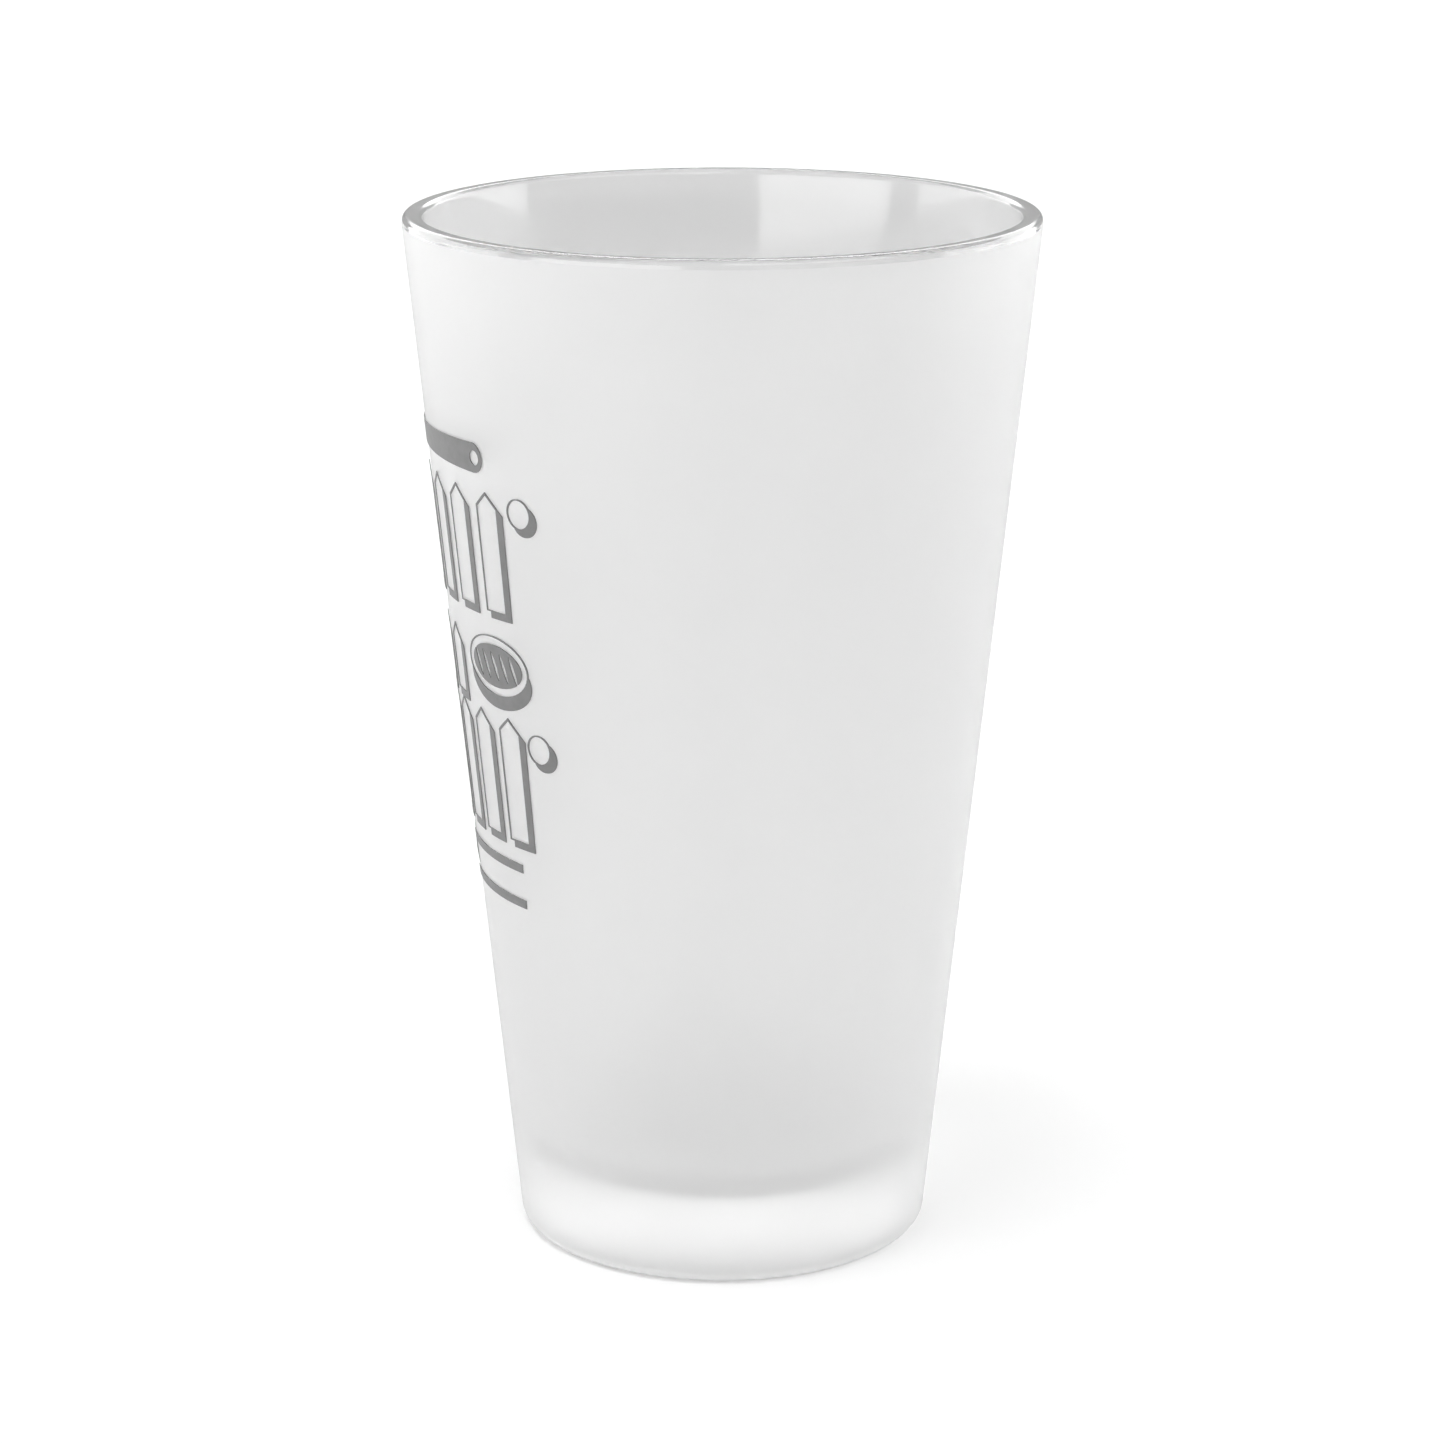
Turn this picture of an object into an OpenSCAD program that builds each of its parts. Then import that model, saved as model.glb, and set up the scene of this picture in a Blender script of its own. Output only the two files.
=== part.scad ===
// Frosted pint glass: a straight-sided, tapering mixing glass with a clear lip, a frosted
// outer wall and a one-colour decorative print fired onto the frosting.
// Z is up, the foot stands on Z = 0, the axis is the Z axis and the print faces -Y.

/* [Glass] */
// Overall height
glass_h = 149; // [130:1:170]
// Outer diameter of the wall carried up to the top of the lip
lip_d = 89.8; // [84:0.2:96]
// Outer diameter of the wall carried down to the table
base_d = 59.1; // [54:0.1:64]
// Wall thickness at the top of the lip
lip_wall = 3; // [2.4:0.1:4]
// Wall thickness level with the inside floor
floor_wall = 4.8; // [4:0.1:6]
// Height of the inside floor above the table
floor_h = 11; // [8:0.5:16]
// Radius of the inside corner between the wall and the floor
corner_r = 7; // [3:0.5:9]
// Rounding of both edges of the lip
lip_r = 0.9; // [0.5:0.1:1]

/* [Foot] */
// Radius of the outside corner at the heel
heel_r = 2.2; // [1.4:0.1:3]
// Width of the flat ring that the glass stands on
foot_w = 3; // [2:0.5:5]
// Depth of the hollow under the base
punt_h = 1.6; // [0.8:0.1:2.5]

/* [Frosting] */
// Thickness of the frosted coat
frost_t = 0.12; // [0.1:0.01:0.2]
// Height of the clear band left along the lip
clear_band = 1.2; // [1.2:0.1:3]

/* [Print] */
// Thickness of the ink
ink_t = 0.1; // [0.08:0.01:0.2]
// Width of the fine outlines
line_w = 0.2; // [0.2:0.05:0.5]
// Width of the drop shadow beside a shape
shadow_w = 1; // [0.5:0.1:1.4]
// Depth of the drop shadow under a shape
shadow_h = 0.9; // [0.5:0.1:1.4]
// Slats in each long row
slat_count = 8; // [2:2:8]
// Angle round the glass from one slat to the next
slat_pitch = 11.1; // [10.5:0.1:12]
// Width of a slat
slat_w = 4.6; // [3:0.1:5]
// Height of a slat's pointed top
slat_point = 2; // [0:0.5:3]

/* [Hidden] */
$fn = 96;

glass_colour = [0.93, 0.94, 0.94, 0.5];
frost_colour = [0.88, 0.88, 0.88];
ink_colour = [0.5, 0.5, 0.5];

// Slopes of the two walls: how much the radius grows for each millimetre of height.
outer_slope = (lip_d - base_d) / 2 / glass_h;
inner_slope = outer_slope + (floor_wall - lip_wall) / (glass_h - floor_h);
outer_tilt = atan(outer_slope);
inner_tilt = atan(inner_slope);

// Steps in the round corners of the profile. The coat starts on one of the heel's steps.
heel_steps = 8;
coat_first_step = 3;
corner_steps = 10;
lip_steps = 6;

// Centres of the round corners, as [radius, height].
heel_centre = [wall_r(heel_r, -heel_r), heel_r];
lip_outer_centre = [wall_r(glass_h - lip_r, -lip_r), glass_h - lip_r];
lip_inner_centre = [bore_r(glass_h - lip_r, lip_r), glass_h - lip_r];
corner_centre = [bore_r(floor_h + corner_r, -corner_r), floor_h + corner_r];

// Rows of the print: the heights of each row's bottom and top, and of its beads.
upper_row = [97.2, 114.4];
middle_row = [82.7, 92.7];
lower_row = [63.6, 82];
middle_slats = 4;
bead_r = 2.2;
bead_angle = 48.2;
upper_bead_z = 112.3;
lower_bead_z = 78.5;

// The bar above the rows: a long bar with a narrow waist, round ends and a hole in each end.
// Angles are measured round the glass from the middle of the print.
bar_z = 118.95;
bar_end_r = 2.15;
bar_end_angle = 36;
bar_waist_r = 1.5;
bar_hole_r = 1.05;
bar_hole_angle = 36.5;

// The striped ovals at the ends of the middle row.
oval_angle = 36.2;
oval_z = 89.2;
oval_size = [14.6, 8.8];
oval_margin = 1.3;
oval_shadow = [0.4, 1.8];
stripe_count = 5;
stripe_pitch = 2.1;
stripe_size = [0.75, 4];
stripe_lean = -0.35;

// The two rules under the rows, with a diamond between their inner ends.
rule_z = [53.6, 59];
rule_h = 1.3;
rule_angles = [7, 38.8];
diamond_z = 56.9;
diamond_size = [5, 6.6];

// How finely the print's round outlines are drawn.
oval_step = 7.5;
bar_end_steps = 12;

// Heights that the ink's thin shell spans, a little beyond the print on both sides.
ink_bottom_z = 50;
ink_top_z = 124;

// Radius of the outer wall at a height, moved out from the glass by a distance.
function wall_r(z, out = 0) = base_d / 2 + outer_slope * z + out / cos(outer_tilt);

// Radius of the inner wall at a height, moved out into the glass by a distance.
function bore_r(z, out = 0) =
    wall_r(glass_h) - lip_wall - inner_slope * (glass_h - z) + out / cos(inner_tilt);

// Points along an arc in the profile, from one angle to another.
function arc(centre, r, from, to, steps) =
    [for (i = [0 : steps]) let (a = from + (to - from) * i / steps)
        centre + r * [cos(a), sin(a)]];

// The heel's arc from one of its steps up to the wall, moved out by a distance.
function heel_arc(first_step, out) = let (sweep = 90 - outer_tilt)
    arc(heel_centre, heel_r + out, -90 + sweep * first_step / heel_steps, -outer_tilt,
        heel_steps - first_step);

// Half of the glass's section, from the axis under the base round to the inside floor.
function glass_section() = let (foot_out_r = heel_centre[0], foot_in_r = foot_out_r - foot_w)
    concat(
        [[0, punt_h]],
        arc([foot_in_r - punt_h, 0], punt_h, 90, 0, corner_steps),
        heel_arc(0, 0),
        arc(lip_outer_centre, lip_r, -outer_tilt, 90, lip_steps),
        arc(lip_inner_centre, lip_r, 90, 180 - inner_tilt, lip_steps),
        arc(corner_centre, corner_r, -inner_tilt, -90, corner_steps),
        [[0, floor_h]]);

// Half of the coat's section: a skin on the wall from the heel to the clear band.
function coat_section() = let (top_z = glass_h - clear_band, inside = heel_arc(coat_first_step, 0))
    concat(
        heel_arc(coat_first_step, frost_t),
        [[wall_r(top_z, frost_t), top_z], [wall_r(top_z), top_z]],
        [for (i = [len(inside) - 1 : -1 : 0]) inside[i]]);

// Degrees round the glass that a width in millimetres takes up at a height.
function as_angle(w, z) = w / wall_r(z, frost_t) * 180 / PI;

// Artwork points as [angle round the glass, height], laid flat as they look from the front.
function wrap(points) = [for (p = points) [wall_r(p[1], frost_t) * sin(p[0]), p[1]]];

// An upright slat with a pointed top, made smaller all round by an inset.
function slat(a, z, inset = 0) = let (
        half = as_angle(slat_w / 2 - inset, z[0]),
        shoulder = z[1] - slat_point - inset,
        point = slat_point * (1 - 2 * inset / slat_w))
    wrap([[a - half, z[0] + inset], [a + half, z[0] + inset], [a + half, shoulder],
          [a, shoulder + point], [a - half, shoulder]]);

// An oval, or a leaning one: each millimetre of height moves it sideways by lean.
function oval(a, z, size, inset = 0, lean = 0) =
    wrap([for (t = [0 : oval_step : 360 - oval_step]) let (
            across = (size[0] / 2 - inset) * cos(t),
            up = (size[1] / 2 - inset) * sin(t))
        [a + as_angle(across + lean * up, z), z + up]]);

// A round end of the top bar, swept from one direction to the other.
function bar_end(a, from, to) =
    [for (i = [0 : bar_end_steps]) let (t = from + (to - from) * i / bar_end_steps)
        [a + as_angle(bar_end_r * cos(t), bar_z), bar_z + bar_end_r * sin(t)]];

// Cuts flat artwork, drawn as seen from the front, out of a thin shell of ink.
module ink() {
    color(ink_colour)
        intersection() {
            rotate([0, 0, 180])
                rotate_extrude(angle = 180)
                    polygon([[wall_r(ink_bottom_z, frost_t), ink_bottom_z],
                             [wall_r(ink_bottom_z, frost_t + ink_t), ink_bottom_z],
                             [wall_r(ink_top_z, frost_t + ink_t), ink_top_z],
                             [wall_r(ink_top_z, frost_t), ink_top_z]]);
            rotate([90, 0, 0])
                linear_extrude(lip_d)
                    children();
        }
}

// A slat in outline with its drop shadow.
module slat_art(a, z) {
    shift = as_angle(shadow_w, z[0]);
    difference() {
        union() {
            polygon(slat(a, z));
            polygon(slat(a + shift, z - [shadow_h, shadow_h]));
        }
        polygon(slat(a, z, line_w));
    }
}

// A row of slats centred on the front.
module slat_row(z, count) {
    for (i = [0 : count - 1])
        slat_art((i - (count - 1) / 2) * slat_pitch, z);
}

// A small ring with its drop shadow.
module bead_art(a, z) {
    size = [2 * bead_r, 2 * bead_r];
    difference() {
        union() {
            polygon(oval(a, z, size));
            polygon(oval(a + as_angle(shadow_w, z), z - shadow_h, size));
        }
        polygon(oval(a, z, size, line_w));
    }
}

// An oval in outline with a drop shadow, and a filled oval with light stripes inside it.
module striped_oval_art(a) {
    difference() {
        union() {
            polygon(oval(a, oval_z, oval_size));
            polygon(oval(a + as_angle(oval_shadow[0], oval_z), oval_z - oval_shadow[1], oval_size));
        }
        polygon(oval(a, oval_z, oval_size, line_w));
    }
    difference() {
        polygon(oval(a, oval_z, oval_size, oval_margin));
        for (i = [0 : stripe_count - 1]) {
            offset_mm = (i - (stripe_count - 1) / 2) * stripe_pitch;
            polygon(oval(a + as_angle(offset_mm, oval_z), oval_z, stripe_size, 0, stripe_lean));
        }
    }
}

module glass_body() {
    color(glass_colour)
        rotate_extrude()
            polygon(glass_section());
}

module frost_coat() {
    color(frost_colour)
        rotate_extrude()
            polygon(coat_section());
}

module print_top_bar() {
    hole_size = [2 * bar_hole_r, 2 * bar_hole_r];
    ink()
        difference() {
            polygon(wrap(concat(
                bar_end(bar_end_angle, -90, 90),
                [[0, bar_z + bar_waist_r]],
                bar_end(-bar_end_angle, 90, 270),
                [[0, bar_z - bar_waist_r]])));
            for (side = [-1, 1])
                polygon(oval(side * bar_hole_angle, bar_z, hole_size));
        }
}

module print_upper_slats() {
    ink() {
        slat_row(upper_row, slat_count);
        for (side = [-1, 1])
            bead_art(side * bead_angle, upper_bead_z);
    }
}

module print_middle_row() {
    ink() {
        slat_row(middle_row, middle_slats);
        for (side = [-1, 1])
            striped_oval_art(side * oval_angle);
    }
}

module print_lower_slats() {
    ink() {
        slat_row(lower_row, slat_count);
        for (side = [-1, 1])
            bead_art(side * bead_angle, lower_bead_z);
    }
}

module print_bottom_rules() {
    near = rule_angles[0];
    far = rule_angles[1];
    half_w = as_angle(diamond_size[0] / 2, diamond_z);
    half_h = diamond_size[1] / 2;
    ink() {
        for (side = [-1, 1], z = rule_z)
            polygon(wrap([[side * near, z], [side * far, z],
                          [side * far, z + rule_h], [side * near, z + rule_h]]));
        polygon(wrap([[-half_w, diamond_z], [0, diamond_z - half_h],
                      [half_w, diamond_z], [0, diamond_z + half_h]]));
    }
}

glass_body();
frost_coat();
print_top_bar();
print_upper_slats();
print_middle_row();
print_lower_slats();
print_bottom_rules();
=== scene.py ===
"""A frosted pint glass with a printed wrap: its looks, studio and camera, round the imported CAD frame.

The glass stands on z = 0 with its axis on Z. The camera looks along -X, so +Y is to its right,
and the print is wrapped round the side that faces -Y. Lengths are in metres.
"""

from math import atan, cos, pi, radians, sin

import bpy
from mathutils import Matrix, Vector


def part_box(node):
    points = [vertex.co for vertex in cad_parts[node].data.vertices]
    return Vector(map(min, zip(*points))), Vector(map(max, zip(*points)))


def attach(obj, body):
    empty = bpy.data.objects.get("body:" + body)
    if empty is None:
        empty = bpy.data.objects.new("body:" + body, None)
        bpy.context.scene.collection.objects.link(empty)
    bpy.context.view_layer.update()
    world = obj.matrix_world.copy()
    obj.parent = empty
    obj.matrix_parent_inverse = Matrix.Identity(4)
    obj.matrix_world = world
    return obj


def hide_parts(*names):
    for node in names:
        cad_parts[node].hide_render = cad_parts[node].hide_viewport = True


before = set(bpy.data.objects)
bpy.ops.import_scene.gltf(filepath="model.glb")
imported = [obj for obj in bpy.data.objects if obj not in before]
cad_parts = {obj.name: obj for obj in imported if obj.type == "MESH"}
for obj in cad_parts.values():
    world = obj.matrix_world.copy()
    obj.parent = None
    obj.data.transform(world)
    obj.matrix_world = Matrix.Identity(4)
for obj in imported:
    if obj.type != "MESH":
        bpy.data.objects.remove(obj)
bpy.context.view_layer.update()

MM = 0.001

# --- The glass's section --------------------------------------------------------------------------

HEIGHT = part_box("glass_body")[1].z
COAT_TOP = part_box("frost_coat")[1].z
LIP_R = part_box("glass_body")[1].x
FOOT_R = 29.55 * MM  # outer radius of the cone at z = 0, before the heel's rounding
LIP_WALL = 3 * MM
FLOOR_WALL = 4.8 * MM
FLOOR_H = 11 * MM
CORNER_R = 7 * MM  # where the bore turns into the floor
LIP_EDGE_R = 0.9 * MM
HEEL_R = 2.2 * MM
RING_W = 3 * MM  # the foot ring that the glass rests on
PUNT_H = 1.6 * MM  # the hollow inside the foot ring
COAT_T = 0.08 * MM  # less than the gap between the glass and the ink, so it never crosses the ink
COAT_START = radians(-65)  # where on the heel's arc the coat begins, measured from level
WALL_STEPS = 40  # stretches of the wall, from the heel to the clear band
TURNS = 256  # flats round the glass
FROSTED = 1  # the frost's material slot, between the polished foot and the polished lip and bore

OUTER_SLOPE = (LIP_R - FOOT_R) / HEIGHT
INNER_SLOPE = OUTER_SLOPE + (FLOOR_WALL - LIP_WALL) / (HEIGHT - FLOOR_H)
OUTER_TILT = atan(OUTER_SLOPE)
INNER_TILT = atan(INNER_SLOPE)


def wall_r(z, out=0.0):
    """Radius of the outer wall at a height, moved square to the wall by a distance."""
    return FOOT_R + OUTER_SLOPE * z + out / cos(OUTER_TILT)


def bore_r(z, out=0.0):
    """Radius of the inner wall at a height, moved square to the wall, into the glass."""
    return LIP_R - LIP_WALL - INNER_SLOPE * (HEIGHT - z) + out / cos(INNER_TILT)


def arc(centre, radius, start, end, steps):
    """Points (r, z) along an arc of the section, from one angle to another, in radians."""
    turns = [start + (end - start) * i / steps for i in range(steps + 1)]
    return [(centre[0] + radius * cos(turn), centre[1] + radius * sin(turn)) for turn in turns]


def underside():
    """From the middle of the hollow foot, down its cove and across the foot ring."""
    ring_in = wall_r(HEEL_R, -HEEL_R) - RING_W
    cove = arc((ring_in - PUNT_H, 0), PUNT_H, pi / 2, 0, steps=8)
    return [(0, PUNT_H)] + cove + [(wall_r(HEEL_R, -HEEL_R), 0)]


def frosted_side():
    """Up the coat, from low on the heel to the clear band under the lip."""
    centre = (wall_r(HEEL_R, -HEEL_R), HEEL_R)
    heel = arc(centre, HEEL_R + COAT_T, COAT_START, -OUTER_TILT, steps=10)
    start = heel[-1][1]
    levels = [start + (COAT_TOP - start) * (i + 1) / WALL_STEPS for i in range(WALL_STEPS)]
    return heel + [(wall_r(z, COAT_T), z) for z in levels]


def lip_and_bore():
    """Over the rounded lip, down the bore and in to the middle of the floor."""
    edge_z = HEIGHT - LIP_EDGE_R
    outer_centre = (wall_r(edge_z, -LIP_EDGE_R), edge_z)
    inner_centre = (bore_r(edge_z, LIP_EDGE_R), edge_z)
    outer = arc(outer_centre, LIP_EDGE_R, -OUTER_TILT, pi / 2, steps=12)
    inner = arc(inner_centre, LIP_EDGE_R, pi / 2, pi - INNER_TILT, steps=12)
    corner_z = FLOOR_H + CORNER_R
    corner_centre = (bore_r(corner_z, -CORNER_R), corner_z)
    corner = arc(corner_centre, CORNER_R, -INNER_TILT, -pi / 2, steps=20)
    return outer + inner + corner + [(0, FLOOR_H)]


# --- Meshes ---------------------------------------------------------------------------------------


def add_object(name, data):
    """A new object in the scene."""
    made = bpy.data.objects.new(name, data)
    bpy.context.scene.collection.objects.link(made)
    return made


def lathe(name, sections):
    """A closed mesh turned round Z from stretches of (r, z) points, each its own material slot.

    The faces between two stretches stay polished, so the frost ends at its own last points.
    """
    points = [point for section in sections for point in section]
    slots = [slot for slot, section in enumerate(sections) for _ in section]
    verts, rings = [], []
    for r, z in points:
        count = TURNS if r > 0 else 1
        ring = [len(verts) + i for i in range(count)]
        rings.append(ring * (TURNS // count))
        verts += [(r * cos(2 * pi * i / TURNS), r * sin(2 * pi * i / TURNS), z) for i in range(count)]
    faces, face_slots = [], []
    for low, high, low_slot, high_slot in zip(rings, rings[1:], slots, slots[1:]):
        for i in range(TURNS):
            j = (i + 1) % TURNS
            corners = [low[i], low[j], high[j], high[i]]
            faces.append(list(dict.fromkeys(corners)))
            face_slots.append(high_slot if low_slot == FROSTED else low_slot)
    mesh = bpy.data.meshes.new(name)
    mesh.from_pydata(verts, [], faces)
    mesh.polygons.foreach_set("material_index", face_slots)
    mesh.polygons.foreach_set("use_smooth", [True] * len(faces))
    mesh.update()
    return add_object(name, mesh)


# --- Materials ------------------------------------------------------------------------------------

GLASS_TINT = 0.985  # the share of light that the glass's colour lets through at a surface
GLASS_IOR = 1.5
INK_TONES = (0.175, 0.2)  # the ink's darkest and lightest, uneven as print is
INK_BACK = 0.6  # the base coat under the ink, seen from inside the glass
PAPER_TONE = 0.85


def new_material(name):
    """A material with a Principled shader, its node tree and that shader."""
    material = bpy.data.materials.new(name)
    material.use_nodes = True
    return material, material.node_tree, material.node_tree.nodes["Principled BSDF"]


def noise(tree, lump, low, high):
    """A value that wanders between two numbers, in lumps of about the given size."""
    place = tree.nodes.new("ShaderNodeTexCoord")
    pattern = tree.nodes.new("ShaderNodeTexNoise")
    pattern.inputs["Scale"].default_value = 1 / lump
    pattern.inputs["Detail"].default_value = 2
    spread = tree.nodes.new("ShaderNodeMapRange")
    spread.inputs["From Min"].default_value = 0.3
    spread.inputs["From Max"].default_value = 0.7
    spread.inputs["To Min"].default_value = low
    spread.inputs["To Max"].default_value = high
    tree.links.new(place.outputs["Object"], pattern.inputs["Vector"])
    tree.links.new(pattern.outputs["Fac"], spread.inputs["Value"])
    return spread.outputs["Result"]


def roughen(tree, shader, lump, depth):
    """Bumps on a surface, of about the given size and depth."""
    bump = tree.nodes.new("ShaderNodeBump")
    bump.inputs["Distance"].default_value = depth
    tree.links.new(noise(tree, lump, low=0, high=1), bump.inputs["Height"])
    tree.links.new(bump.outputs["Normal"], shader.inputs["Normal"])


def glass_material(name, clear_share, roughness, sheen):
    """Glass that lets a share of the light through, and scatters the rest as a milky surface does.

    Sheen is how much a powdery surface lightens where it turns away.
    """
    material, tree, shader = new_material(name)
    shader.inputs["Base Color"].default_value = (GLASS_TINT, GLASS_TINT, GLASS_TINT, 1)
    shader.inputs["Transmission Weight"].default_value = clear_share
    shader.inputs["Roughness"].default_value = roughness
    shader.inputs["IOR"].default_value = GLASS_IOR
    shader.inputs["Sheen Weight"].default_value = sheen
    return material, tree, shader


def clear_glass():
    """Clear glass, a little soft in its reflections, with the faint waviness of a moulded bore."""
    material, tree, shader = glass_material("polished_glass", clear_share=1, roughness=0.09, sheen=0)
    roughen(tree, shader, lump=20 * MM, depth=0.002 * MM)
    return material


def frosted_glass():
    """The frosted wall: a milky, fine-grained surface, a little uneven from place to place."""
    material, tree, shader = glass_material("sprayed_frost", clear_share=0.6, roughness=0.5, sheen=0.35)
    tree.links.new(noise(tree, lump=9 * MM, low=0.975, high=0.99), shader.inputs["Base Color"])
    roughen(tree, shader, lump=0.3 * MM, depth=0.004 * MM)
    return material


def print_ink():
    """Grey screen-printing ink on a pale base coat, which is what shows from inside the glass."""
    material, tree, shader = new_material("screen_ink")
    shader.inputs["Roughness"].default_value = 0.55
    surface = tree.nodes.new("ShaderNodeNewGeometry")
    flat = tree.nodes.new("ShaderNodeVectorMath")
    flat.operation = "MULTIPLY"
    flat.inputs[1].default_value = (1, 1, 0)
    outward = tree.nodes.new("ShaderNodeVectorMath")
    outward.operation = "DOT_PRODUCT"
    inner_face = tree.nodes.new("ShaderNodeMath")
    inner_face.operation = "LESS_THAN"
    inner_face.inputs[1].default_value = 0
    colour = tree.nodes.new("ShaderNodeMix")
    colour.inputs["B"].default_value = INK_BACK
    tree.links.new(surface.outputs["Position"], flat.inputs[0])
    tree.links.new(flat.outputs["Vector"], outward.inputs[0])
    tree.links.new(surface.outputs["Normal"], outward.inputs[1])
    tree.links.new(outward.outputs["Value"], inner_face.inputs[0])
    tree.links.new(inner_face.outputs["Value"], colour.inputs["Factor"])
    tree.links.new(noise(tree, 1.5 * MM, *INK_TONES), colour.inputs["A"])
    tree.links.new(colour.outputs["Result"], shader.inputs["Base Color"])
    roughen(tree, shader, lump=0.3 * MM, depth=0.006 * MM)
    return material


# --- The glass and its print ----------------------------------------------------------------------

glass = lathe("glass", [underside(), frosted_side(), lip_and_bore()])
polished = clear_glass()
for material in (polished, frosted_glass(), polished):
    glass.data.materials.append(material)
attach(glass, "root")
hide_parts("glass_body", "frost_coat")

ink = print_ink()
for node_name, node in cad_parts.items():
    if node_name.startswith("print_"):
        node.data.materials.clear()
        node.data.materials.append(ink)

# --- The floor ------------------------------------------------------------------------------------

FLOOR_R = 1.3  # far enough for its edge to be lost in the white behind it
FLOOR_SIDES = 64
SEEN_GLOW = 0.23  # how much the paper glows for the camera, which overexposes it
NEAR_GLOW, FAR_GLOW = 0.2, 0.13  # how much it glows for everything else, near the glass and far off
NEAR_R, FAR_R = 0.25, 0.45  # where the one turns into the other


def floor_material():
    """White paper, with one glow for the camera and a pool of light round the glass for the rest."""
    material, tree, shader = new_material("white_paper")
    shader.inputs["Base Color"].default_value = (PAPER_TONE, PAPER_TONE, PAPER_TONE, 1)
    shader.inputs["Roughness"].default_value = 1
    shader.inputs["Specular IOR Level"].default_value = 0
    shader.inputs["Emission Color"].default_value = (1, 1, 1, 1)
    surface = tree.nodes.new("ShaderNodeNewGeometry")
    distance = tree.nodes.new("ShaderNodeVectorMath")
    distance.operation = "LENGTH"
    pool = tree.nodes.new("ShaderNodeMapRange")
    pool.inputs["From Min"].default_value = NEAR_R
    pool.inputs["From Max"].default_value = FAR_R
    pool.inputs["To Min"].default_value = NEAR_GLOW
    pool.inputs["To Max"].default_value = FAR_GLOW
    glow = tree.nodes.new("ShaderNodeMix")
    glow.inputs["B"].default_value = SEEN_GLOW
    seen = tree.nodes.new("ShaderNodeLightPath").outputs["Is Camera Ray"]
    tree.links.new(surface.outputs["Position"], distance.inputs[0])
    tree.links.new(distance.outputs["Value"], pool.inputs["Value"])
    tree.links.new(pool.outputs["Result"], glow.inputs["A"])
    tree.links.new(seen, glow.inputs["Factor"])
    tree.links.new(glow.outputs["Result"], shader.inputs["Emission Strength"])
    return material


def paper_floor():
    """A round sheet of paper on z = 0."""
    turns = [2 * pi * i / FLOOR_SIDES for i in range(FLOOR_SIDES)]
    rim = [(FLOOR_R * cos(turn), FLOOR_R * sin(turn), 0) for turn in turns]
    mesh = bpy.data.meshes.new("floor")
    mesh.from_pydata(rim, [], [list(range(FLOOR_SIDES))])
    mesh.materials.append(floor_material())
    return add_object("floor", mesh)


floor = paper_floor()

# --- The studio's light ---------------------------------------------------------------------------

WHITE = 1.15  # what the camera sees past the glass
SOFT_EDGE = radians(3)  # over which a panel's light fades out
# The panels of light round the glass, painted on the world's background and so endlessly far off: the
# middle of each and its half width, in degrees from the camera round to its left; its lowest and
# highest edges, in degrees above level; and its brightness. The brightnesses come from a least-squares
# fit to the photograph's tones, joined by panel and rounded. The softbox and both wings were then
# raised.
PANELS = {
    "softbox": (42.5, 27.5, -12, 12.5, 4.1),
    "right_card": (-45, 45, 30, 57, 2.0),
    "left_wing": (117.5, 32.5, -12, 12.5, 3.0),
    "right_wing": (-117.5, 32.5, -12, 12.5, 3.8),
    "backdrop_foot": (180, 30, -12, 12.5, 0.35),
    "backdrop": (180, 95, 12.5, 30, 2.9),
    "backdrop_top": (180, 90, 30, 57, 0.3),
}


def maths(tree, operation, *values):
    """A Math node's result, from numbers and other nodes' outputs."""
    node = tree.nodes.new("ShaderNodeMath")
    node.operation = operation
    for socket, value in zip(node.inputs, values):
        if isinstance(value, bpy.types.NodeSocket):
            tree.links.new(value, socket)
        else:
            socket.default_value = value
    return node.outputs["Value"]


def within(tree, value, middle, half):
    """1 where a value is less than half a panel from its middle, fading to 0 across the edge."""
    fade = tree.nodes.new("ShaderNodeMapRange")
    fade.inputs["From Min"].default_value = half + SOFT_EDGE / 2
    fade.inputs["From Max"].default_value = half - SOFT_EDGE / 2
    away = maths(tree, "WRAP", maths(tree, "SUBTRACT", value, middle), pi, -pi)
    tree.links.new(maths(tree, "ABSOLUTE", away), fade.inputs["Value"])
    return fade.outputs["Result"]


def panel_light(tree, azimuth, elevation, panel):
    """The light of one panel, as it depends on a direction's azimuth and elevation."""
    middle, half, lowest, highest, brightness = panel
    across = within(tree, azimuth, radians(middle), radians(half))
    upright = within(tree, elevation, radians((lowest + highest) / 2), radians((highest - lowest) / 2))
    return maths(tree, "MULTIPLY", maths(tree, "MULTIPLY", across, upright), brightness)


def all_panels(tree):
    """The light of every panel together."""
    direction = tree.nodes.new("ShaderNodeTexCoord")
    parts = tree.nodes.new("ShaderNodeSeparateXYZ")
    tree.links.new(direction.outputs["Generated"], parts.inputs["Vector"])
    leftward = maths(tree, "MULTIPLY", parts.outputs["Y"], -1)
    azimuth = maths(tree, "ARCTAN2", leftward, parts.outputs["X"])
    elevation = maths(tree, "ARCSINE", parts.outputs["Z"])
    light = 0
    for panel in PANELS.values():
        light = maths(tree, "ADD", light, panel_light(tree, azimuth, elevation, panel))
    return light


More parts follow.
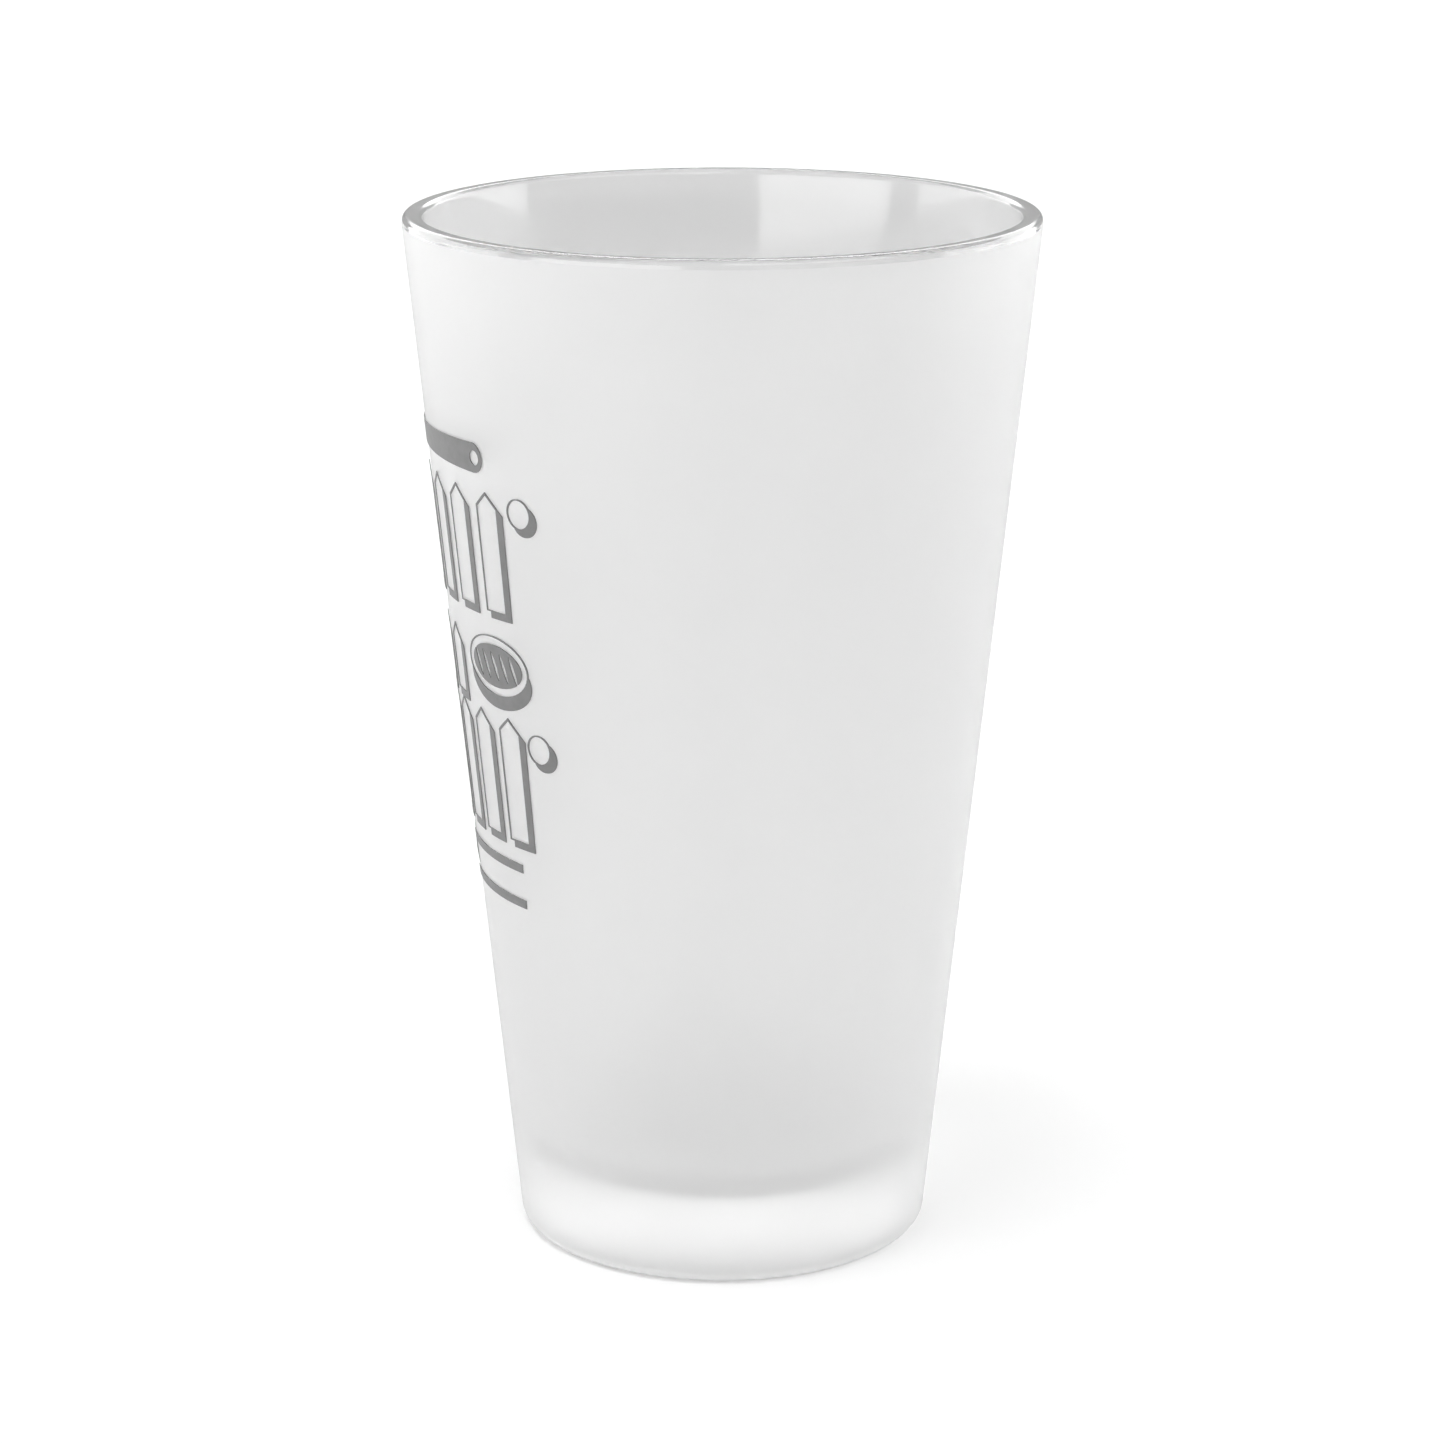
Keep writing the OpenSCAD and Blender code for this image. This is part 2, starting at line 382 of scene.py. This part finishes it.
def studio():
    """The panels, which light the glass and the paper, and plain white for the camera past the glass."""
    world = bpy.data.worlds.new("studio")
    world.use_nodes = True
    tree = world.node_tree
    background = tree.nodes["Background"]
    background.inputs["Color"].default_value = (1, 1, 1, 1)
    seen = tree.nodes.new("ShaderNodeLightPath").outputs["Is Camera Ray"]
    strength = tree.nodes.new("ShaderNodeMix")
    strength.inputs["B"].default_value = WHITE
    tree.links.new(seen, strength.inputs["Factor"])
    tree.links.new(all_panels(tree), strength.inputs["A"])
    tree.links.new(strength.outputs["Result"], background.inputs["Strength"])
    return world


KEY_FROM = (42, 74)  # where the key light stands: degrees to the camera's left, degrees above level
KEY_SPREAD = 24  # degrees across, which makes its shadow soft
KEY_STRENGTH = 1.05


def toward(azimuth, elevation):
    """A direction, from degrees round to the camera's left and degrees above level."""
    level = cos(radians(elevation))
    return Vector((level * cos(radians(azimuth)), -level * sin(radians(azimuth)), sin(radians(elevation))))


def key_light():
    """A very soft lamp, high up at the front left. It lights only the paper, to lay the shadow there."""
    lamp = bpy.data.lights.new("key", "SUN")
    lamp.angle = radians(KEY_SPREAD)
    lamp.energy = KEY_STRENGTH
    key = add_object("key", lamp)
    key.rotation_euler = (-toward(*KEY_FROM)).to_track_quat("-Z", "Y").to_euler()
    paper = bpy.data.collections.new("paper")
    paper.objects.link(floor)
    key.light_linking.receiver_collection = paper


bpy.context.scene.world = studio()
key_light()
bpy.context.scene.view_settings.view_transform = "Standard"

# --- The camera -----------------------------------------------------------------------------------

CAMERA_AIM = Vector((0, 0, 74.8 * MM))
CAMERA_AWAY = 0.6
CAMERA_UP = 15.4  # degrees above level
FOCAL_LENGTH = 103.5  # in millimetres, on a sensor 36 mm wide


def photo_camera():
    """The camera, at the angle of a product photograph taken from a little above the lip."""
    lens = bpy.data.cameras.new("camera")
    lens.sensor_width = 36
    lens.lens = FOCAL_LENGTH
    camera = add_object("camera", lens)
    camera.location = CAMERA_AIM + CAMERA_AWAY * toward(0, CAMERA_UP)
    camera.rotation_euler = (CAMERA_AIM - camera.location).to_track_quat("-Z", "Y").to_euler()
    return camera


bpy.context.scene.camera = photo_camera()
